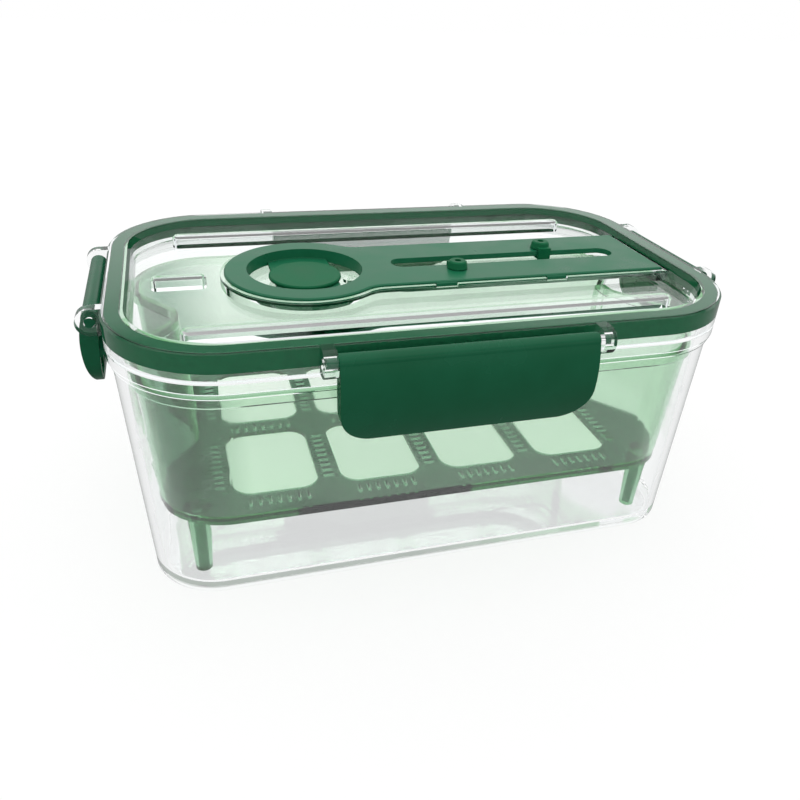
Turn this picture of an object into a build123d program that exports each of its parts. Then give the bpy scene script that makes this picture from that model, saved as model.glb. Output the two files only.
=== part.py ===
from build123d import *
from math import atan, degrees
import os

# Sizes are in millimetres. The origin is the centre of the footprint, +Z is up and -Y is the front.

# Lid outline, which every ring of the rim follows as an inset
lid_length = 258.5
lid_width = 160.0
lid_corner = 44.0

# Box
wall_inset = 1.75
wall_draft = 6.2
base_corner = 27.6
base_edge = 1.8
base_wall = 2.7
floor_thickness = 3.0
foot_height = 1.4
foot_width = 4.0
floor_edge = 2.2
flange_bottom = 95.9
flange_height = 6.4
bead_step = 0.9
bead_split = 2.5
lip_height = 8.8
lip_wall = 1.7

# Seal ring, an upside-down channel that hangs in the lid and rides over the box's lip
seal_web = 2.0
seal_outer_leg = 1.5
seal_inner_leg = 1.3
seal_outer_drop = 7.3
seal_inner_drop = 3.0

# Lid shell
lid_skin = 1.2
skirt_wall = 1.65
lid_edge = 0.9
panel_depth = 7.8
panel_thickness = 1.8
well_slope = 2.5
rim_wall = 1.4
rib_end_inset = 27.75
rib_side_inset = 26.0
rib_width = 6.6
rib_height = 5.4
rib_wall = 1.5
rib_edge = 1.0
short_rib_inset = 28.95
short_rib_length = 22.5
short_rib_width = 5.2

# Date plate, a ring that runs into a straight strip
ring_centre = -47.0
ring_radius = 34.5
finger_radius = 25.0
ring_skirt = 1.2
strip_width = 48.6
strip_inset = 12.75
neck_round = 14.0
plate_thickness = 2.4
plate_proud = 1.2
plate_edge = 0.5
plate_border = 1.7
platform_rise = 4.8
platform_skin = 1.6
slot_start = -8.0
slot_inset = 13.5
slot_width = 11.0
trough_margin = 7.5
bridge_width = 27.0
bridge_thickness = 1.4
snap_length = 10.0
snap_height = 1.8
snap_reach = 1.0
snap_places = (10.0, 62.0)

# Vent valve in the middle of the ring
button_radius = 15.7
button_thickness = 1.4
button_edge = 0.5
vent_travel = 4.0
stem_radius = 2.6
stem_slit = 1.2
barb_radius = 4.4
barb_height = 3.2
vent_hole_radius = 3.7
plug_radius = 6.2
plug_thickness = 1.4
boss_radius = 3.2
boss_height = 1.4
boss_hole = 1.4
boss_offset = (19.6, -3.4)

# Date sliders
slider_radius = 4.6
slider_top_radius = 3.9
slider_height = 3.2
slider_edge = 0.5
slider_hole = 1.5
slider_web = 1.2
slider_width = 6.0
slider_foot = 1.2
slider_inset = 4.6
slider_places = (("front_slider", 20.0, -1), ("back_slider", 70.0, 1))

# Clasps and the lugs that carry them
pivot_out = 3.9
pivot_drop = 5.4
barrel_radius = 3.4
clasp_belly = 5.5
belly_drop = 13.4
clasp_drop = 31.7
clasp_tip = 1.5
clasp_back = 1.7
clasp_skin = 1.9
clasp_corner = 13.0
hook_drop = 14.4
hook_height = 3.4
clasp_rib = 1.4
clasp_ribs = 3
trunnion_radius = 2.0
trunnion_length = 4.4
lug_radius = 5.3
lug_thickness = 5.0
long_clasp = 100.0
short_clasp = 60.0

# Drain basket, whose walls follow the inside of the box
basket_wall = 2.0
basket_floor = 3.4
basket_height = 60.2
basket_corner = 33.0
basket_rim_height = 4.0
basket_rim = 1.1
leg_height = 28.6
leg_top_radius = 5.0
leg_tip_radius = 3.5
leg_wall = 1.3
leg_inset_x = 15.7
leg_inset_y = 11.0
dish_radius = 5.6
dish_depth = 1.2
scoop_depth = 16.5
scoop_half = 27.0
scoop_nose = 5.5
scoop_shoulder_round = 12.0
scoop_nose_round = 9.0
window_columns = 4
window_rows = 2
window_end_inset = 30.1
window_side_inset = 15.4
window_corner = 8.0
window_depth = 2.0
bar_width = 9.8
drain_length = 4.2
drain_width = 1.3
drain_pitch = 4.0

# Clearances
side_gap = 0.1
lip_gap = 0.35
seat_gap = 0.3
skirt_gap = 0.7
slide_gap = 0.3
stem_gap = 0.05
pin_gap = 0.07
hook_gap = 0.35
lug_gap = 0.6
basket_gap = 3.0

# Places along the lid that follow
rib_length = lid_length - 2 * rib_end_inset
rib_y = lid_width / 2 - rib_side_inset
short_rib_x = short_rib_inset - lid_length / 2
strip_end = lid_length / 2 - strip_inset
slot_end = strip_end - slot_inset

# Heights that follow
floor_top = foot_height + floor_thickness
wall_start = floor_top + floor_edge
flange_top = flange_bottom + flange_height
lip_top = flange_top + lip_height
web_bottom = lip_top + seat_gap
seal_top = web_bottom + seal_web
lid_top = seal_top + lid_skin
skirt_bottom = flange_top + skirt_gap
panel_top = lid_top - panel_depth
panel_bottom = panel_top - panel_thickness
platform_top = panel_top + platform_rise
plate_top = platform_top + plate_proud
plate_bottom = plate_top - plate_thickness
bridge_bottom = panel_top + seat_gap
bridge_top = bridge_bottom + bridge_thickness
pivot_z = lid_top - pivot_drop
basket_bottom = floor_top + seat_gap + leg_height
basket_top = basket_bottom + basket_height

# Insets that follow, from the lid's outline
seal_outer = skirt_wall + side_gap
lip_outer = seal_outer + seal_outer_leg + lip_gap
lip_inner = lip_outer + lip_wall
seal_inner = lip_inner + lip_gap + seal_inner_leg
rim_inner = seal_inner + side_gap


def block(shape, bottom, top):
    return extrude(Pos(0, 0, bottom) * shape, amount=top - bottom)


def outline(inset):
    corner = lid_corner - inset
    return RectangleRounded(lid_length - 2 * inset, lid_width - 2 * inset, corner)


def slab(inset, bottom, top):
    return block(outline(inset), bottom, top)


def taper(lower, bottom, upper, top):
    return loft([Pos(0, 0, bottom) * lower, Pos(0, 0, top) * upper], ruled=True)


def draft(shape, bottom, top, growth):
    """A block whose every side leans outward by the growth between its two heights."""
    angle = degrees(atan(growth / (top - bottom)))
    return extrude(Pos(0, 0, bottom) * shape, amount=top - bottom, taper=-angle)


def ring(outer, inner, bottom, top):
    return slab(outer, bottom, top) - slab(inner, bottom, top)


def base_outline(inset):
    shrink = 2 * (wall_inset + wall_draft + inset)
    return RectangleRounded(lid_length - shrink, lid_width - shrink, base_corner - inset)


def inner_size(level):
    """Length and width of the box's inside at a height."""
    share = (level - wall_start) / (flange_top - wall_start)
    base_shrink = 2 * (wall_inset + wall_draft + base_wall)
    shrink = base_shrink + share * (2 * lip_inner - base_shrink)
    return lid_length - shrink, lid_width - shrink


def outer_box():
    body = draft(base_outline(base_edge), 0, base_edge, base_edge)
    body += taper(base_outline(0), base_edge, outline(wall_inset), flange_bottom)
    bead_middle = flange_bottom + bead_split
    body += slab(bead_step, flange_bottom, bead_middle) + slab(0, bead_middle, flange_top)
    body += slab(lip_outer, flange_top, lip_top)
    cavity = draft(base_outline(base_wall + floor_edge), floor_top, wall_start, floor_edge)
    cavity += taper(base_outline(base_wall), wall_start, outline(lip_inner), flange_top)
    cavity += slab(lip_inner, flange_top, lip_top)
    return body - cavity - block(base_outline(foot_width), 0, foot_height)


def lid_seal():
    seal = ring(seal_outer, seal_inner, web_bottom, seal_top)
    seal += ring(seal_outer, seal_outer + seal_outer_leg, seal_top - seal_outer_drop, web_bottom)
    seal += ring(seal_inner - seal_inner_leg, seal_inner, seal_top - seal_inner_drop, web_bottom)
    return seal


def plate_outline(grow, end):
    disc = Pos(ring_centre, 0) * Circle(ring_radius + grow)
    length = end - ring_centre
    strip = Pos(ring_centre + length / 2, 0) * Rectangle(length, strip_width + 2 * grow)
    shape = disc + strip
    necks = [v for v in shape.vertices() if ring_centre < v.X < ring_centre + ring_radius]
    return fillet(necks, neck_round - grow)


def date_slot(grow):
    length = slot_end - slot_start + 2 * grow
    return Pos((slot_start + slot_end) / 2, 0) * SlotOverall(length, slot_width + 2 * grow)


def snap_keys(reach, height, length):
    keys = []
    for place in snap_places:
        for side in (-1, 1):
            edge = side * (strip_width / 2 + reach / 2)
            keys.append(Pos(place, edge, plate_bottom + snap_height / 2) * Box(length, reach, height))
    return keys


def raised_rib(length, width, x, y):
    place = Pos(x, y)
    rib = block(place * SlotOverall(length, width), panel_top - panel_thickness / 2, panel_top + rib_height)
    rib = chamfer(rib.faces().sort_by(Axis.Z)[-1].edges(), rib_edge)
    shrink = 2 * rib_wall
    groove = block(place * SlotOverall(length - shrink, width - shrink), panel_bottom,
                   panel_top + rib_height - rib_wall)
    return rib, groove


def lug_profile():
    root = pivot_out + skirt_wall / 2
    eye = Circle(lug_radius) + Pos(root / 2, 0) * Rectangle(root, 2 * lug_radius)
    return eye - Circle(trunnion_radius + pin_gap)


def hinge_place(side):
    angle, edge = side
    return Rot(0, 0, angle) * Pos(0, -(edge + pivot_out), pivot_z)


def across(shape, start, end):
    """A profile of the outward and upward directions, run along the hinge."""
    return extrude(Plane((start, 0, 0), x_dir=(0, 1, 0), z_dir=(1, 0, 0)) * shape, amount=end - start)


def lugs(length):
    start = length / 2 + lug_gap
    pair = across(lug_profile(), start, start + lug_thickness)
    return pair + mirror(pair, about=Plane.YZ)


sides = {
    "front_clasp": (0, lid_width / 2, long_clasp),
    "back_clasp": (180, lid_width / 2, long_clasp),
    "left_clasp": (-90, lid_length / 2, short_clasp),
    "right_clasp": (90, lid_length / 2, short_clasp),
}


def lid():
    well_bottom = rim_inner + rim_wall + well_slope
    leg_tip = seal_top - seal_inner_drop
    core = draft(outline(well_bottom - rim_wall), panel_bottom, leg_tip, well_slope)
    core += slab(rim_inner, leg_tip, seal_top)
    shell = slab(0, skirt_bottom, lid_top)
    shell = chamfer(shell.faces().sort_by(Axis.Z)[-1].edges(), lid_edge)
    shell -= slab(skirt_wall, skirt_bottom, seal_top) - core
    shell -= draft(outline(well_bottom), panel_top, lid_top, well_slope)

    platform = block(plate_outline(plate_border, lid_length / 2), panel_top, platform_top) & core
    shell += platform
    for y in (-rib_y, rib_y):
        rib, groove = raised_rib(rib_length, rib_width, 0, y)
        shell = shell + rib - groove
    rib, groove = raised_rib(short_rib_length, short_rib_width, short_rib_x, 0)
    shell = shell + rib - groove

    shell -= block(plate_outline(side_gap, strip_end + side_gap), plate_bottom, lid_top)
    well = Pos(ring_centre, 0) * Circle(finger_radius + ring_skirt + side_gap)
    trough = date_slot(trough_margin)
    shell -= block(well + trough, panel_top, lid_top)
    margin = plate_outline(-plate_border, strip_end - plate_border)
    keep = Pos(ring_centre, 0) * Circle(finger_radius + ring_skirt + platform_skin)
    keep += date_slot(trough_margin + platform_skin)
    shell -= block(margin - keep, panel_bottom, plate_bottom - platform_skin)
    for key in snap_keys(snap_reach + plate_border, snap_height, snap_length):
        shell -= key

    shell -= block(Pos(ring_centre, 0) * Circle(vent_hole_radius), panel_bottom, panel_top)
    boss_place = Pos(ring_centre + boss_offset[0], boss_offset[1])
    shell += block(boss_place * Circle(boss_radius), panel_top, panel_top + boss_height)
    shell -= block(boss_place * Circle(boss_hole), panel_bottom, panel_top + boss_height)

    for angle, edge, length in sides.values():
        shell += hinge_place((angle, edge)) * lugs(length)
    return shell


def date_plate():
    plate = block(plate_outline(0, strip_end), plate_bottom, plate_top)
    plate = chamfer(plate.faces().sort_by(Axis.Z)[-1].edges(), plate_edge)
    finger = Pos(ring_centre, 0) * Circle(finger_radius)
    skirt = Circle(finger_radius + ring_skirt)
    plate += block(Pos(ring_centre, 0) * skirt, bridge_bottom, plate_bottom)
    plate -= block(finger, bridge_bottom, plate_top) + block(date_slot(0), plate_bottom, plate_top)
    bridge = Rectangle(bridge_width, 2 * ring_radius) & skirt
    plate += block(Pos(ring_centre, 0) * bridge, bridge_bottom, bridge_top)
    plate -= block(Pos(ring_centre, 0) * Circle(plug_radius + slide_gap), bridge_bottom, bridge_top)
    for key in snap_keys(snap_reach, snap_height - seat_gap, snap_length - 2 * seat_gap):
        plate += key
    return plate


def vent_button():
    centre = Pos(ring_centre, 0)
    disc_bottom = bridge_top + slide_gap
    disc_top = disc_bottom + button_thickness
    disc = block(centre * Circle(button_radius), disc_bottom, disc_top)
    disc = chamfer(disc.faces().sort_by(Axis.Z)[-1].edges(), button_edge)
    barb_top = panel_bottom - vent_travel - slide_gap
    stem_bottom = barb_top - barb_height
    stem = block(centre * Circle(stem_radius), stem_bottom, disc_bottom)
    barb_place = Pos(ring_centre, 0, stem_bottom + barb_height / 2)
    barb = barb_place * Cone(stem_radius, barb_radius, barb_height)
    slit = block(centre * Rectangle(stem_slit, 2 * barb_radius), stem_bottom, panel_bottom)
    return disc + stem + barb - slit


def vent_seal():
    centre = Pos(ring_centre, 0)
    bottom = panel_top + slide_gap
    washer = Circle(plug_radius) - Circle(stem_radius + stem_gap)
    return block(centre * washer, bottom, bottom + plug_thickness)


def slider(x, side):
    """A button on the strip, a web down through the slot and a foot under the strip's edge."""
    edge = side * slot_width / 2
    button_y = edge + side * slider_inset
    base = plate_top + slide_gap
    web_outer = edge - side * slide_gap
    web_inner = web_outer - side * slider_web
    foot_top = plate_bottom - slide_gap
    foot_bottom = foot_top - slider_foot
    cap = Pos(x, button_y, base + slider_height / 2) * Cone(slider_radius, slider_top_radius, slider_height)
    cap = chamfer(cap.faces().sort_by(Axis.Z)[-1].edges(), slider_edge)
    tongue_y = (button_y + web_inner) / 2
    tongue = Pos(x, tongue_y, base + slider_foot / 2) * Box(slider_width, abs(button_y - web_inner), slider_foot)
    web = Pos(x, (web_outer + web_inner) / 2, (base + foot_bottom) / 2)
    web *= Box(slider_width, slider_web, base - foot_bottom)
    foot_end = edge + side * slider_inset
    foot = Pos(x, (foot_end + web_inner) / 2, (foot_top + foot_bottom) / 2)
    foot *= Box(slider_width, abs(foot_end - web_inner), slider_foot)
    hole = Pos(x, button_y, base + slider_height) * Cylinder(slider_hole, slider_height)
    return cap + tongue + web + foot - hole


def flap_outline(length, inset, top):
    width = length - 2 * inset
    height = top + clasp_drop - inset
    corner = clasp_corner - inset
    shape = Pos(0, top - height / 2) * Rectangle(width, height)
    low = [v for v in shape.vertices() if v.Y < top - height / 2]
    return fillet(low, corner)


def flap_face():
    back = Line((clasp_back - clasp_tip, -clasp_drop), (clasp_back, -barrel_radius))
    edges = [
        ThreePointArc((-barrel_radius, 0), (-clasp_belly, -belly_drop), (-clasp_tip, -clasp_drop)),
        Line((-clasp_tip, -clasp_drop), (clasp_back - clasp_tip, -clasp_drop)),
        back,
        Line((clasp_back, -barrel_radius), (clasp_back, 0)),
        Line((clasp_back, 0), (-barrel_radius, 0)),
    ]
    return make_face(edges)


def clasp(length):
    half = length / 2
    face = flap_face()
    front = extrude(Plane.XZ.offset(2 * clasp_belly) * flap_outline(length, 0, 0), amount=-4 * clasp_belly)
    flap = across(face, -half, half) & front
    mouth_top = -barrel_radius - clasp_skin
    mouth_bottom = -clasp_drop + 2 * clasp_skin
    mouth = Rectangle(2 * clasp_skin, mouth_top - mouth_bottom, align=(Align.MIN, Align.MIN))
    pocket = offset(face, -clasp_skin) + Pos(clasp_back - clasp_skin - side_gap, mouth_bottom) * mouth
    inner = Plane.XZ.offset(2 * clasp_belly) * flap_outline(length, clasp_skin, 0)
    hollow = across(pocket, -half, half) & extrude(inner, amount=-4 * clasp_belly)
    body = flap - hollow
    nose = pivot_out - hook_gap
    hook_low = hook_drop + hook_height
    depth = clasp_belly - clasp_skin / 2
    hook = make_face(Polyline((-depth, -hook_drop), (nose - hook_gap, -hook_drop), (nose, -hook_drop - hook_gap),
                              (nose - hook_gap, -hook_drop - hook_height / 2), (0, -hook_low),
                              (-depth, -hook_low), close=True))
    body += across(hook, -half + clasp_skin / 2, half - clasp_skin / 2) & front
    for n in range(clasp_ribs):
        x = half * (2 * (n + 1) / (clasp_ribs + 1) - 1)
        body += across(face, x - clasp_rib / 2, x + clasp_rib / 2)
    body += across(Circle(barrel_radius), -half, half)
    pin = half + trunnion_length
    return body + across(Circle(trunnion_radius), -pin, pin)


def basket_size(level):
    length, width = inner_size(level)
    return length - 2 * basket_gap, width - 2 * basket_gap


def basket_outline():
    """The plan of the basket's rim: a rounded oblong with a finger scoop in each short side."""
    length, width = basket_size(basket_top)
    end = length / 2
    side = width / 2
    nose = end - scoop_depth
    half = [(end, side), (end, scoop_half), (nose, scoop_nose), (nose, -scoop_nose), (end, -scoop_half), (end, -side)]
    shape = make_face(Polyline(*half, *[(-x, y) for x, y in reversed(half)], close=True))
    shape = fillet(shape.vertices().filter_by(lambda v: abs(v.Y) > scoop_half + 1), basket_corner)
    shoulders = shape.vertices().filter_by(lambda v: abs(abs(v.Y) - scoop_half) < 0.01)
    shape = fillet(shoulders, scoop_shoulder_round)
    noses = shape.vertices().filter_by(lambda v: abs(abs(v.Y) - scoop_nose) < 0.01)
    return fillet(noses, scoop_nose_round)


def windows():
    """Size and spacing of the floor's windows, which fill the floor between the scoops."""
    length, width = basket_size(basket_bottom)
    step_x = (length - 2 * window_end_inset + bar_width) / window_columns
    step_y = (width - 2 * window_side_inset + bar_width) / window_rows
    return step_x, step_y


def row_places(count, step):
    return [step * (n - (count - 1) / 2) for n in range(count)]


def drain_row(room, x, y, angle):
    count = int((room - bar_width - window_corner) / drain_pitch)
    spots = [Pos(place, 0) * Rectangle(drain_width, drain_length) for place in row_places(count, drain_pitch)]
    return Pos(x, y) * Rot(0, 0, angle) * Sketch(children=spots)


def drain_slots():
    """Rows of slots along every bar between the windows."""
    step_x, step_y = windows()
    for x in row_places(window_columns, step_x):
        for y in row_places(window_rows + 1, step_y):
            yield drain_row(step_x, x, y, 0)
    for x in row_places(window_columns + 1, step_x):
        for y in row_places(window_rows, step_y):
            yield drain_row(step_y, x, y, 90)


def leg():
    """A hollow foot under the floor, placed with its top at the floor's upper side."""
    height = leg_height + basket_floor
    body = Pos(0, 0, -height / 2) * Cone(leg_tip_radius, leg_top_radius, height)
    bore_height = height - leg_wall
    bore = Pos(0, 0, -bore_height / 2) * Cylinder(leg_tip_radius - leg_wall, bore_height)
    dish = Pos(0, 0, -dish_depth / 2) * Cone(leg_tip_radius, dish_radius, dish_depth)
    return body, bore + dish


def drain_basket():
    length, width = basket_size(basket_bottom)
    lean = (basket_size(basket_top)[0] - length) / 2
    upper = basket_outline()
    lower = offset(upper, -lean)
    body = draft(lower, basket_bottom, basket_top, lean)
    body += block(offset(upper, basket_rim), basket_top - basket_rim_height, basket_top)
    floor_level = basket_bottom + basket_floor
    cavity = draft(offset(lower, -basket_wall), basket_bottom, basket_top, lean)
    body -= cavity - block(Rectangle(length, width), basket_bottom, floor_level)
    step_x, step_y = windows()
    window = RectangleRounded(step_x - bar_width, step_y - bar_width, window_corner)
    for x in row_places(window_columns, step_x):
        for y in row_places(window_rows, step_y):
            body -= block(Pos(x, y) * window, floor_level - window_depth, floor_level)
    foot, hollow = leg()
    for x in (leg_inset_x - length / 2, length / 2 - leg_inset_x):
        for y in (leg_inset_y - width / 2, width / 2 - leg_inset_y):
            body += Pos(x, y, floor_level) * foot
            body -= Pos(x, y, floor_level) * hollow
    for row in drain_slots():
        body -= block(row, basket_bottom, floor_level)
    return body


def build_all():
    parts = {
        "outer_box": outer_box(),
        "drain_basket": drain_basket(),
        "lid": lid(),
        "lid_seal": lid_seal(),
        "date_plate": date_plate(),
        "vent_button": vent_button(),
        "vent_seal": vent_seal(),
    }
    for name, x, side in slider_places:
        parts[name] = slider(x, side)
    for name, (angle, edge, length) in sides.items():
        parts[name] = hinge_place((angle, edge)) * clasp(length)
    return parts


os.makedirs("parts", exist_ok=True)
for node, solid in build_all().items():
    export_step(solid, f"parts/{node}.step")
    print(node, round(solid.volume / 1000, 2), "cm3")
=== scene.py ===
from math import cos, radians, sin

import bpy
from mathutils import Matrix, Vector


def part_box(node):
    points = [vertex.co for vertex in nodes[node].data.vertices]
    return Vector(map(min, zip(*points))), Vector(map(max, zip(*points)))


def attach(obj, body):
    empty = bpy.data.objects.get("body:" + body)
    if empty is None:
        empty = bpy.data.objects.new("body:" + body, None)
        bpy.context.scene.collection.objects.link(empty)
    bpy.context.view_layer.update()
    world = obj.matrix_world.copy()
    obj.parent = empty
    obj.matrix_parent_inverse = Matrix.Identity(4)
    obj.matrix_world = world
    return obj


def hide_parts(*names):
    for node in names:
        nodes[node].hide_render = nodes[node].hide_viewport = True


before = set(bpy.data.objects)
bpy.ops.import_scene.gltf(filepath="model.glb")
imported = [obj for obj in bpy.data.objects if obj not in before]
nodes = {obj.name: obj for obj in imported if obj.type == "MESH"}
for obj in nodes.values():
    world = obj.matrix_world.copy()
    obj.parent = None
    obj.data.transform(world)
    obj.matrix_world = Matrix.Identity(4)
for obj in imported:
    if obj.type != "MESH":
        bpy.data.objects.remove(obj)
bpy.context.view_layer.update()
print("frame loaded:", len(nodes), "pieces")


def linear(hexText):
    # sRGB hex to the linear values that a shader takes
    channels = [int(hexText[i:i + 2], 16) / 255 for i in (1, 3, 5)]
    return [c / 12.92 if c <= 0.04045 else ((c + 0.055) / 1.055) ** 2.4 for c in channels] + [1.0]


def addNode(tree, kind, settings=None, links=None):
    # settings name an input or a property of the node, links name an input and the socket that feeds it
    node = tree.nodes.new(kind)
    for name, value in (settings or {}).items():
        if isinstance(name, int) or name in node.inputs:
            node.inputs[name].default_value = value
        else:
            setattr(node, name, value)
    for name, source in (links or {}).items():
        tree.links.new(source, node.inputs[name])
    return node


def emptyMaterial(name):
    material = bpy.data.materials.new(name)
    material.use_nodes = True
    material.node_tree.nodes.clear()
    return material, material.node_tree


def dress(nodeName, material):
    mesh = nodes[nodeName].data
    mesh.materials.clear()
    mesh.materials.append(material)


def noiseAt(tree, sizeMm, detail, stretch=(1, 1, 1)):
    # noise whose features are about sizeMm across, in the object's own metres
    place = addNode(tree, "ShaderNodeTexCoord")
    scaled = addNode(tree, "ShaderNodeMapping", {"Scale": stretch}, {"Vector": place.outputs["Object"]})
    return addNode(tree, "ShaderNodeTexNoise", {"Scale": 1000 / sizeMm, "Detail": detail},
                   {"Vector": scaled.outputs["Vector"]})


def fromTo(fromRange, toRange):
    # the settings of a Map Range node
    return {"From Min": fromRange[0], "From Max": fromRange[1], "To Min": toRange[0], "To Max": toRange[1]}


noiseSpan = (0.3, 0.7)      # most of a noise pattern lies between these

lightPaths = {
    "layers": 7,            # layers of clear plastic that bend light before it goes straight on
    "anyBounce": 0.5,       # bounces are counted in whole numbers, so this parts none from some
}


def letLightThrough(tree, surface, colour, always=None):
    # light that is already scattered or reflected, and paths deep in the layers, pass straight through
    # clear plastic, because the renderer stops such paths early and thick edges would turn black
    path = addNode(tree, "ShaderNodeLightPath")
    share = path.outputs["Is Shadow Ray"]
    if always:      # the share that goes straight through for every ray
        share = addNode(tree, "ShaderNodeMath", {"operation": "MAXIMUM"},
                        {0: always, 1: share}).outputs["Value"]
    for depthName, limit in (("Diffuse Depth", lightPaths["anyBounce"]),
                             ("Transmission Depth", lightPaths["layers"]),
                             ("Glossy Depth", lightPaths["anyBounce"])):
        past = addNode(tree, "ShaderNodeMath", {"operation": "GREATER_THAN", 1: limit},
                       {0: path.outputs[depthName]})
        share = addNode(tree, "ShaderNodeMath", {"operation": "MAXIMUM"},
                        {0: past.outputs["Value"], 1: share}).outputs["Value"]
    straight = addNode(tree, "ShaderNodeBsdfTransparent", {"Color": linear(colour)})
    return addNode(tree, "ShaderNodeMixShader", links={0: share, 1: surface, 2: straight.outputs["BSDF"]})


troughLook = {
    "milk": "#f4f8f5",
    "share": 0.8,
    "along": (-0.012, 0.107),       # metres along the lid and across it
    "across": (-0.0085, 0.0085),
    "depth": 0.0038,
    "seatAbovePlate": 0.0033,       # level of the lid under the strip, up from the plate's lowest edge
    "skin": 0.0001,                 # so that the level itself is counted in
}


def milkyOver(tree, shader, axes, patch):
    # the trough under the date slot is drawn milky white: a share of plain white diffuse over the clear
    # plastic
    within = None
    for axis, (low, high) in zip("XYZ", patch):
        side = addNode(tree, "ShaderNodeMath",
                       {"operation": "COMPARE", 1: (low + high) / 2, 2: (high - low) / 2},
                       {0: axes.outputs[axis]}).outputs["Value"]
        within = side if within is None else addNode(tree, "ShaderNodeMath", {"operation": "MULTIPLY"},
                                                     {0: within, 1: side}).outputs["Value"]
    cover = addNode(tree, "ShaderNodeMath", {"operation": "MULTIPLY", 1: troughLook["share"]}, {0: within})
    milk = addNode(tree, "ShaderNodeBsdfDiffuse", {"Color": linear(troughLook["milk"])})
    return addNode(tree, "ShaderNodeMixShader",
                   links={0: cover.outputs["Value"], 1: shader, 2: milk.outputs["BSDF"]}).outputs["Shader"]


clearLook = {
    "colour": "#fcfdfd",
    "turned": "#b4bfba",            # seen edge on, where the eye looks along the sheet
    "turnedSpan": (0.75, 1.0),      # how far a face turns away before it takes that colour
    "boxIor": 1.46,
    "lidIor": 1.38,                 # lower, so the ring under the lid's rim stays deep green
    "roughness": (0.0, 0.015),
    "smudgeMm": 38,                 # soft haze of handling, about a palm's width
    "smudgeDetail": 4.0,
    "smudgeSpan": (0.45, 0.8),
    "waveMm": 24,                   # slow sink and flow of a big moulding
    "waveDetail": 1.0,
    "waveStretch": (1, 1, 0.4),     # longer up the walls, the way the plastic ran
    "waveStrength": 0.001,
    "waveHeight": 0.001,
    "footHeight": 0.0045,
    "footShare": 0.45,              # the thick foot carries the floor's white along it: this share of rays
                                    # goes straight through to the floor
}


def clearStyrene(name, ior, milkyPatch=None):
    # SAN, injection moulded in a polished mould: glass-clear, with faint flow waves and the haze of handling
    material, tree = emptyMaterial(name)
    smudge = noiseAt(tree, clearLook["smudgeMm"], clearLook["smudgeDetail"])
    rough = addNode(tree, "ShaderNodeMapRange", fromTo(clearLook["smudgeSpan"], clearLook["roughness"]),
                    {"Value": smudge.outputs["Fac"]})
    wave = noiseAt(tree, clearLook["waveMm"], clearLook["waveDetail"], clearLook["waveStretch"])
    bump = addNode(tree, "ShaderNodeBump",
                   {"Strength": clearLook["waveStrength"], "Distance": clearLook["waveHeight"]},
                   {"Height": wave.outputs["Fac"]})
    facing = addNode(tree, "ShaderNodeLayerWeight", {"Blend": 0.5})
    turned = addNode(tree, "ShaderNodeMapRange", fromTo(clearLook["turnedSpan"], (0.0, 1.0)),
                     {"Value": facing.outputs["Facing"]})
    colour = addNode(tree, "ShaderNodeMix",
                     {"data_type": "RGBA", 6: linear(clearLook["colour"]), 7: linear(clearLook["turned"])},
                     {0: turned.outputs["Result"]})
    shader = addNode(tree, "ShaderNodeBsdfPrincipled", {"IOR": ior, "Transmission Weight": 1.0},
                     {"Base Color": colour.outputs[2], "Roughness": rough.outputs["Result"],
                      "Normal": bump.outputs["Normal"]}).outputs["BSDF"]
    place = addNode(tree, "ShaderNodeTexCoord")
    axes = addNode(tree, "ShaderNodeSeparateXYZ", links={"Vector": place.outputs["Object"]})
    if milkyPatch:
        shader = milkyOver(tree, shader, axes, milkyPatch)
    foot = addNode(tree, "ShaderNodeMath", {"operation": "LESS_THAN", 1: clearLook["footHeight"]},
                   {0: axes.outputs["Z"]})
    always = addNode(tree, "ShaderNodeMath", {"operation": "MULTIPLY", 1: clearLook["footShare"]},
                     {0: foot.outputs["Value"]})
    surface = letLightThrough(tree, shader, clearLook["colour"], always.outputs["Value"])
    addNode(tree, "ShaderNodeOutputMaterial", links={"Surface": surface.outputs["Shader"]})
    return material


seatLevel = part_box("date_plate")[0].z + troughLook["seatAbovePlate"]
slotTrough = (troughLook["along"], troughLook["across"],
              (seatLevel - troughLook["depth"], seatLevel + troughLook["skin"]))
dress("outer_box", clearStyrene("clearStyreneBox", clearLook["boxIor"]))
dress("lid", clearStyrene("clearStyreneLid", clearLook["lidIor"], slotTrough))
print("box and lid in clear styrene")


basketLook = {
    "wall": "#fbfefb",
    "turned": "#a8c6b4",            # a wall seen edge on holds more green
    "turnedSpan": (0.5, 0.95),
    "scoopEnd": "#93b0a1",          # the end by the scoop, where the wall is doubled
    "scoopRamp": (-0.08, -0.108),   # metres along the box over which that end deepens
    "floor": "#55846a",             # the drained floor is thicker than the walls
    "recessShade": "#22332a",              # painted shade: the slots and dimples sunk in the floor, drawn dark as shade falls in them
    "edge": "#4a6a5a",              # rounded lower edge, where the light runs along the sheet
    "leg": "#8fb49d",
    "tint": "#45c86c",
    "density": 150.0,               # absorption per metre: a 2 mm wall stays pale and an edge goes deep
    "ior": 1.5,
    "roughness": (0.02, 0.1),
    "hazeMm": 30,
    "hazeDetail": 3.0,
    "windowBelowRim": 0.0588,       # level of the frosted panels, from the rim down
    "windowBand": 0.0003,           # faces this near that level are panels
    "windowUp": 0.9,                # only the faces that look up are frosted
    "floorRise": 0.002,             # top of the floor above the panels
    "floorSkin": 0.0001,            # the floor's own face, between its colour and the slots'
    "edgeDrop": 0.0005,             # where the edge and the legs start, below the panels
    "legDrop": 0.0016,
}

frostLook = {
    "colour": "#f8fdf7",
    "glow": "#e9efe6",              # painted glow: an emission standing in for the light from below that the frost scatters
    "glowStrength": 0.4,
    "cover": 0.9,
    "roughness": (0.42, 0.55),
    "grainMm": 0.5,                 # the etch is near 0.05 mm, drawn coarser so that it shows
    "grainDetail": 2.0,
    "grainStrength": 0.3,
    "grainHeight": 0.0002,
}


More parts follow.
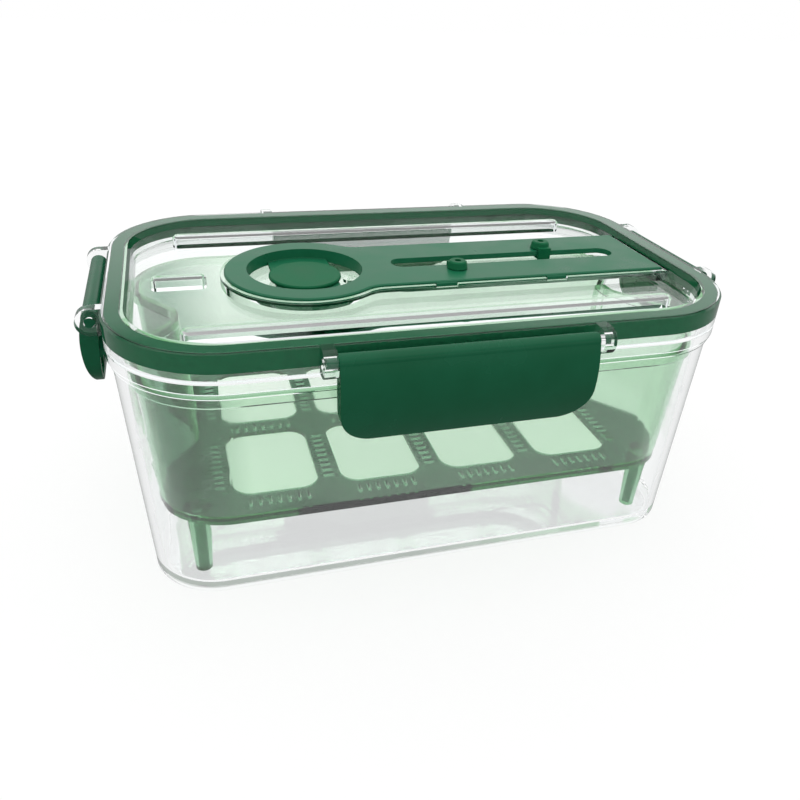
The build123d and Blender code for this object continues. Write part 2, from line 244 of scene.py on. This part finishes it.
def tintedStyrene(windowLevel):
    # the same clear resin with a green masterbatch: pale across a wall, deep along an edge,
    # and etched to a soft frost, with a painted glow, on the sunken floor panels; the slots sunk in the floor
    # carry painted shade
    material, tree = emptyMaterial("greenStyreneTinted")
    place = addNode(tree, "ShaderNodeTexCoord")
    axes = addNode(tree, "ShaderNodeSeparateXYZ", links={"Vector": place.outputs["Object"]})
    slope = addNode(tree, "ShaderNodeSeparateXYZ", links={"Vector": place.outputs["Normal"]})
    level = addNode(tree, "ShaderNodeMath",
                    {"operation": "COMPARE", 1: windowLevel, 2: basketLook["windowBand"]},
                    {0: axes.outputs["Z"]})
    upward = addNode(tree, "ShaderNodeMath", {"operation": "GREATER_THAN", 1: basketLook["windowUp"]},
                     {0: slope.outputs["Z"]})
    frosted = addNode(tree, "ShaderNodeMath", {"operation": "MULTIPLY"},
                      {0: level.outputs["Value"], 1: upward.outputs["Value"]})

    facing = addNode(tree, "ShaderNodeLayerWeight", {"Blend": 0.5})
    turned = addNode(tree, "ShaderNodeMapRange", fromTo(basketLook["turnedSpan"], (0.0, 1.0)),
                     {"Value": facing.outputs["Facing"]})
    ramp = addNode(tree, "ShaderNodeMapRange", fromTo(basketLook["scoopRamp"], (0.0, 1.0)),
                   {"Value": axes.outputs["X"]})
    ends = addNode(tree, "ShaderNodeMix",
                   {"data_type": "RGBA", 6: linear(basketLook["wall"]), 7: linear(basketLook["scoopEnd"])},
                   {0: ramp.outputs["Result"]})
    colour = addNode(tree, "ShaderNodeMix", {"data_type": "RGBA", 7: linear(basketLook["turned"])},
                     {0: turned.outputs["Result"], 6: ends.outputs[2]}).outputs[2]
    floorTop = windowLevel + basketLook["floorRise"]
    skin = basketLook["floorSkin"]
    # from the top down: the floor's face, the painted shade on the slots' walls, the panels, the edge and the
    # legs
    for zone, below in (("floor", floorTop + skin), ("recessShade", floorTop - skin),
                        ("floor", windowLevel + basketLook["windowBand"]),
                        ("edge", windowLevel - basketLook["edgeDrop"]),
                        ("leg", windowLevel - basketLook["legDrop"])):
        under = addNode(tree, "ShaderNodeMath", {"operation": "LESS_THAN", 1: below}, {0: axes.outputs["Z"]})
        colour = addNode(tree, "ShaderNodeMix", {"data_type": "RGBA", 7: linear(basketLook[zone])},
                         {0: under.outputs["Value"], 6: colour}).outputs[2]

    haze = noiseAt(tree, basketLook["hazeMm"], basketLook["hazeDetail"])
    polished = addNode(tree, "ShaderNodeMapRange", fromTo(noiseSpan, basketLook["roughness"]),
                       {"Value": haze.outputs["Fac"]})
    etched = addNode(tree, "ShaderNodeMapRange", fromTo(noiseSpan, frostLook["roughness"]),
                     {"Value": haze.outputs["Fac"]})
    rough = addNode(tree, "ShaderNodeMix", {"data_type": "FLOAT"},
                    {0: frosted.outputs["Value"], 2: polished.outputs["Result"], 3: etched.outputs["Result"]})
    grain = noiseAt(tree, frostLook["grainMm"], frostLook["grainDetail"])
    depth = addNode(tree, "ShaderNodeMath", {"operation": "MULTIPLY", 1: frostLook["grainStrength"]},
                    {0: frosted.outputs["Value"]})
    bump = addNode(tree, "ShaderNodeBump", {"Distance": frostLook["grainHeight"]},
                   {"Height": grain.outputs["Fac"], "Strength": depth.outputs["Value"]})

    shader = addNode(tree, "ShaderNodeBsdfPrincipled", {"IOR": basketLook["ior"], "Transmission Weight": 1.0},
                     {"Base Color": colour, "Roughness": rough.outputs[0], "Normal": bump.outputs["Normal"]})
    inside = addNode(tree, "ShaderNodeVolumeAbsorption",
                     {"Color": linear(basketLook["tint"]), "Density": basketLook["density"]})
    milk = addNode(tree, "ShaderNodeBsdfDiffuse", {"Color": linear(frostLook["colour"])},
                   {"Normal": bump.outputs["Normal"]})
    # painted glow on the frosted panels: an emission in place of the light from below
    glow = addNode(tree, "ShaderNodeEmission",
                   {"Color": linear(frostLook["glow"]), "Strength": frostLook["glowStrength"]})
    lit = addNode(tree, "ShaderNodeAddShader", links={0: milk.outputs["BSDF"], 1: glow.outputs["Emission"]})
    cover = addNode(tree, "ShaderNodeMath", {"operation": "MULTIPLY", 1: frostLook["cover"]},
                    {0: frosted.outputs["Value"]})
    panels = addNode(tree, "ShaderNodeMixShader",
                     links={0: cover.outputs["Value"], 1: shader.outputs["BSDF"], 2: lit.outputs["Shader"]})
    surface = letLightThrough(tree, panels.outputs["Shader"], basketLook["wall"])
    addNode(tree, "ShaderNodeOutputMaterial",
            links={"Surface": surface.outputs["Shader"], "Volume": inside.outputs["Volume"]})
    return material


dress("drain_basket", tintedStyrene(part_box("drain_basket")[1].z - basketLook["windowBelowRim"]))
print("basket in tinted styrene")


mouldLook = {
    "ior": 1.42,
    "cloudMm": 16,                  # slow shifts of tone across a moulding
    "cloudDetail": 3.0,
    "textureMm": 0.9,               # mould texture near 0.1 mm, drawn coarser so that it shows
    "textureDetail": 2.0,
    "textureStrength": 0.08,
    "textureHeight": 0.0001,
    "edgeMm": 0.35,
    "edgeSamples": 6,
}

claspLook = {
    "name": "greenAbsClasp",
    "low": "#115638",               # the two tones of the clouds
    "high": "#145c3e",
    "roughness": (0.2, 0.3),
    "gloss": 0.2,                   # strength of the shine, where 0.5 is that of plain plastic
}

plateLook = {
    "name": "greenAbsPlate",
    "low": "#166544",
    "high": "#1b6d4b",
    "roughness": (0.26, 0.38),
    "gloss": 0.38,
}

buttonLook = {                      # the vent button and the two sliders
    "name": "greenAbsButton",
    "low": "#12603c",
    "high": "#176945",
    "roughness": (0.3, 0.42),
    "gloss": 0.1,
}


def greenAbs(look):
    # ABS from a lightly textured mould: even colour, satin sheen, corners softened by the mould
    material, tree = emptyMaterial(look["name"])
    cloud = noiseAt(tree, mouldLook["cloudMm"], mouldLook["cloudDetail"])
    tone = addNode(tree, "ShaderNodeMapRange", fromTo(noiseSpan, (0.0, 1.0)), {"Value": cloud.outputs["Fac"]})
    colour = addNode(tree, "ShaderNodeMix",
                     {"data_type": "RGBA", 6: linear(look["low"]), 7: linear(look["high"])},
                     {0: tone.outputs["Result"]})
    rough = addNode(tree, "ShaderNodeMapRange", fromTo(noiseSpan, look["roughness"]),
                    {"Value": cloud.outputs["Fac"]})
    edge = addNode(tree, "ShaderNodeBevel",
                   {"samples": mouldLook["edgeSamples"], "Radius": mouldLook["edgeMm"] / 1000})
    grain = noiseAt(tree, mouldLook["textureMm"], mouldLook["textureDetail"])
    bump = addNode(tree, "ShaderNodeBump",
                   {"Strength": mouldLook["textureStrength"], "Distance": mouldLook["textureHeight"]},
                   {"Height": grain.outputs["Fac"], "Normal": edge.outputs["Normal"]})
    shader = addNode(tree, "ShaderNodeBsdfPrincipled",
                     {"IOR": mouldLook["ior"], "Specular IOR Level": look["gloss"]},
                     {"Base Color": colour.outputs[2], "Roughness": rough.outputs["Result"],
                      "Normal": bump.outputs["Normal"]})
    addNode(tree, "ShaderNodeOutputMaterial", links={"Surface": shader.outputs["BSDF"]})
    return material


for look, nodeNames in ((claspLook, ("front_clasp", "back_clasp", "left_clasp", "right_clasp")),
                        (plateLook, ("date_plate",)),
                        (buttonLook, ("vent_button", "front_slider", "back_slider"))):
    plastic = greenAbs(look)
    for nodeName in nodeNames:
        dress(nodeName, plastic)
print("clasps, plate, button and sliders in green ABS")


sealLook = {
    "low": "#185c3c",
    "high": "#1c6542",
    "roughness": (0.5, 0.62),
    "ior": 1.41,
    "gloss": 0.1,
    "sheen": 0.05,
    "sheenRoughness": 0.4,
    "dustMm": 2.2,                  # specks of dust and bloom that silicone holds
    "dustDetail": 5.0,
    "edgeMm": 0.3,
    "edgeSamples": 4,
    "press": 0.0002,                # how far the ring gives into its channel's walls
}


def greenSilicone():
    # moulded silicone: soft matt skin with a bloom of dust, edges slightly round
    material, tree = emptyMaterial("greenSiliconeMoulded")
    bloom = noiseAt(tree, sealLook["dustMm"], sealLook["dustDetail"])
    tone = addNode(tree, "ShaderNodeMapRange", fromTo(noiseSpan, (0.0, 1.0)), {"Value": bloom.outputs["Fac"]})
    colour = addNode(tree, "ShaderNodeMix",
                     {"data_type": "RGBA", 6: linear(sealLook["low"]), 7: linear(sealLook["high"])},
                     {0: tone.outputs["Result"]})
    rough = addNode(tree, "ShaderNodeMapRange", fromTo(noiseSpan, sealLook["roughness"]),
                    {"Value": bloom.outputs["Fac"]})
    edge = addNode(tree, "ShaderNodeBevel",
                   {"samples": sealLook["edgeSamples"], "Radius": sealLook["edgeMm"] / 1000})
    shader = addNode(tree, "ShaderNodeBsdfPrincipled",
                     {"IOR": sealLook["ior"], "Specular IOR Level": sealLook["gloss"],
                      "Sheen Weight": sealLook["sheen"], "Sheen Roughness": sealLook["sheenRoughness"]},
                     {"Base Color": colour.outputs[2], "Roughness": rough.outputs["Result"],
                      "Normal": edge.outputs["Normal"]})
    addNode(tree, "ShaderNodeOutputMaterial", links={"Surface": shader.outputs["BSDF"]})
    return material


def seatedSeal(silicone):
    # the ring as it sits, pressed a hair into its channel's walls, so that the clear rim shows its colour
    # with no air between
    mesh = nodes["lid_seal"].data.copy()
    mesh.name = "seatedSeal"
    for vertex, normal in zip(mesh.vertices, [v.normal.copy() for v in mesh.vertices]):
        vertex.co += normal * sealLook["press"]
    mesh.materials.clear()
    mesh.materials.append(silicone)
    seal = bpy.data.objects.new("seatedSeal", mesh)
    bpy.context.scene.collection.objects.link(seal)
    seal.matrix_world = nodes["lid_seal"].matrix_world.copy()
    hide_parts("lid_seal")
    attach(seal, "lid")


silicone = greenSilicone()
dress("vent_seal", silicone)
seatedSeal(silicone)
print("seals in green silicone")


def throughClear(tree, reflected):
    # rays that have gone through clear plastic and met nothing matt, with or without a reflection on the way
    path = addNode(tree, "ShaderNodeLightPath")
    passed = addNode(tree, "ShaderNodeMath", {"operation": "GREATER_THAN", 1: lightPaths["anyBounce"]},
                     {0: path.outputs["Transmission Depth"]})
    met = addNode(tree, "ShaderNodeMath", {"operation": "MULTIPLY_ADD", 1: 0.0 if reflected else 1.0},
                  {0: path.outputs["Glossy Depth"], 2: path.outputs["Diffuse Depth"]})
    direct = addNode(tree, "ShaderNodeMath", {"operation": "LESS_THAN", 1: lightPaths["anyBounce"]},
                     {0: met.outputs["Value"]})
    both = addNode(tree, "ShaderNodeMath", {"operation": "MULTIPLY"},
                   {0: passed.outputs["Value"], 1: direct.outputs["Value"]})
    return path, both.outputs["Value"]


floorLook = {
    "half": 3.0,
    "rise": 0.00005,            # a hair above the foot ring's face, so that no air lies between
    "colour": "#ffffff",
    "shadowShare": 0.2,         # how much of its own shading the floor shows to the camera
    "light": 0.4,               # how bright the floor is as a reflector of light
}


def paleFloor():
    half = floorLook["half"]
    rise = floorLook["rise"]
    mesh = bpy.data.meshes.new("paleFloor")
    mesh.from_pydata([(-half, -half, rise), (half, -half, rise), (half, half, rise), (-half, half, rise)],
                     [], [(0, 1, 2, 3)])
    floor = bpy.data.objects.new("paleFloor", mesh)
    bpy.context.scene.collection.objects.link(floor)
    material, tree = emptyMaterial("paintedStudioFloor")
    path, through = throughClear(tree, True)
    seen = addNode(tree, "ShaderNodeMath", {"operation": "MAXIMUM"},
                   {0: path.outputs["Is Camera Ray"], 1: through})
    paint = addNode(tree, "ShaderNodeBsdfDiffuse", {"Color": linear(floorLook["colour"])})
    strength = addNode(tree, "ShaderNodeMix", {"data_type": "FLOAT", 2: floorLook["light"], 3: 1.0},
                       {0: seen.outputs["Value"]})
    glow = addNode(tree, "ShaderNodeEmission", {"Color": linear(floorLook["colour"])},
                   {"Strength": strength.outputs[0]})
    share = addNode(tree, "ShaderNodeMath",
                    {"operation": "MULTIPLY_ADD", 1: -floorLook["shadowShare"], 2: 1.0},
                    {0: path.outputs["Is Camera Ray"]})
    both = addNode(tree, "ShaderNodeMixShader",
                   links={0: share.outputs["Value"], 1: paint.outputs["BSDF"], 2: glow.outputs["Emission"]})
    addNode(tree, "ShaderNodeOutputMaterial", links={"Surface": both.outputs["Shader"]})
    mesh.materials.append(material)


skyLook = {
    # height of the direction (0 level, 1 overhead) and brightness there
    "levels": ((0.0, 0.55), (0.15, 0.75), (0.27, 1.3), (0.36, 1.1), (0.4, 0.8), (0.425, 0.25),
               (0.47, 0.25), (0.56, 0.7), (0.75, 1.4)),
    "peak": 1.4,                # brightest part of the tent, overhead
    "card": (0.0, 0.05),        # a grey card at the horizon, which draws the edges of the clear pieces
    "cardLight": 0.4,
}


def softSky():
    # a white tent, bright overhead and in a low panel, with a duller stretch between,
    # and plain white where the camera looks through
    world = bpy.data.worlds.new("softSky")
    bpy.context.scene.world = world
    world.use_nodes = True
    tree = world.node_tree
    tree.nodes.clear()
    place = addNode(tree, "ShaderNodeTexCoord")
    axes = addNode(tree, "ShaderNodeSeparateXYZ", links={"Vector": place.outputs["Generated"]})
    heights = addNode(tree, "ShaderNodeValToRGB", links={"Fac": axes.outputs["Z"]})
    stops = heights.color_ramp.elements
    while len(stops) < len(skyLook["levels"]):
        stops.new(0.5)      # each one gets its place below
    for stop, (height, level) in zip(stops, skyLook["levels"]):
        stop.position = height
        stop.color = [level / skyLook["peak"]] * 3 + [1.0]
    tent = addNode(tree, "ShaderNodeMath", {"operation": "MULTIPLY", 1: skyLook["peak"]},
                   {0: heights.outputs["Color"]})
    low, high = skyLook["card"]
    band = addNode(tree, "ShaderNodeMath",
                   {"operation": "COMPARE", 1: (low + high) / 2, 2: (high - low) / 2}, {0: axes.outputs["Z"]})
    card = addNode(tree, "ShaderNodeMapRange", fromTo((0.0, 1.0), (1.0, skyLook["cardLight"])),
                   {"Value": band.outputs["Value"]})
    path, through = throughClear(tree, False)
    clear = addNode(tree, "ShaderNodeMix", {"data_type": "FLOAT"},
                    {0: through, 2: tent.outputs["Value"], 3: card.outputs["Result"]})
    strength = addNode(tree, "ShaderNodeMix", {"data_type": "FLOAT", 3: 1.0},
                       {0: path.outputs["Is Camera Ray"], 2: clear.outputs[0]})
    sky = addNode(tree, "ShaderNodeBackground", {"Color": (1, 1, 1, 1)}, {"Strength": strength.outputs[0]})
    addNode(tree, "ShaderNodeOutputWorld", links={"Surface": sky.outputs["Background"]})


cameraLook = {
    "target": (-0.0003, 0.0, 0.0407),   # the point looked at, and how far off, in metres
    "distance": 0.3729,
    "azimuth": -17.605,                 # degrees, from straight in front
    "elevation": 30.149,
    "roll": 3.1,
    "lens": 33.514,                     # mm
    "sensor": 36.0,
    "nearest": 0.01,
}


def photoCamera():
    azimuth = radians(cameraLook["azimuth"])
    elevation = radians(cameraLook["elevation"])
    roll = radians(cameraLook["roll"])
    back = Vector((sin(azimuth) * cos(elevation), -cos(azimuth) * cos(elevation), sin(elevation)))
    level = Vector((cos(azimuth), sin(azimuth), 0))
    rise = back.cross(level)
    right = level * cos(roll) + rise * sin(roll)
    up = rise * cos(roll) - level * sin(roll)
    lens = bpy.data.cameras.new("photoCamera")
    lens.lens = cameraLook["lens"]
    lens.sensor_width = cameraLook["sensor"]
    lens.clip_start = cameraLook["nearest"]
    camera = bpy.data.objects.new("photoCamera", lens)
    bpy.context.scene.collection.objects.link(camera)
    place = Vector(cameraLook["target"]) + back * cameraLook["distance"]
    camera.matrix_world = Matrix.Translation(place) @ Matrix((right, up, back)).transposed().to_4x4()
    bpy.context.scene.camera = camera


paleFloor()
softSky()
photoCamera()
bpy.context.scene.view_settings.view_transform = "Standard"
print("floor, sky and camera placed")
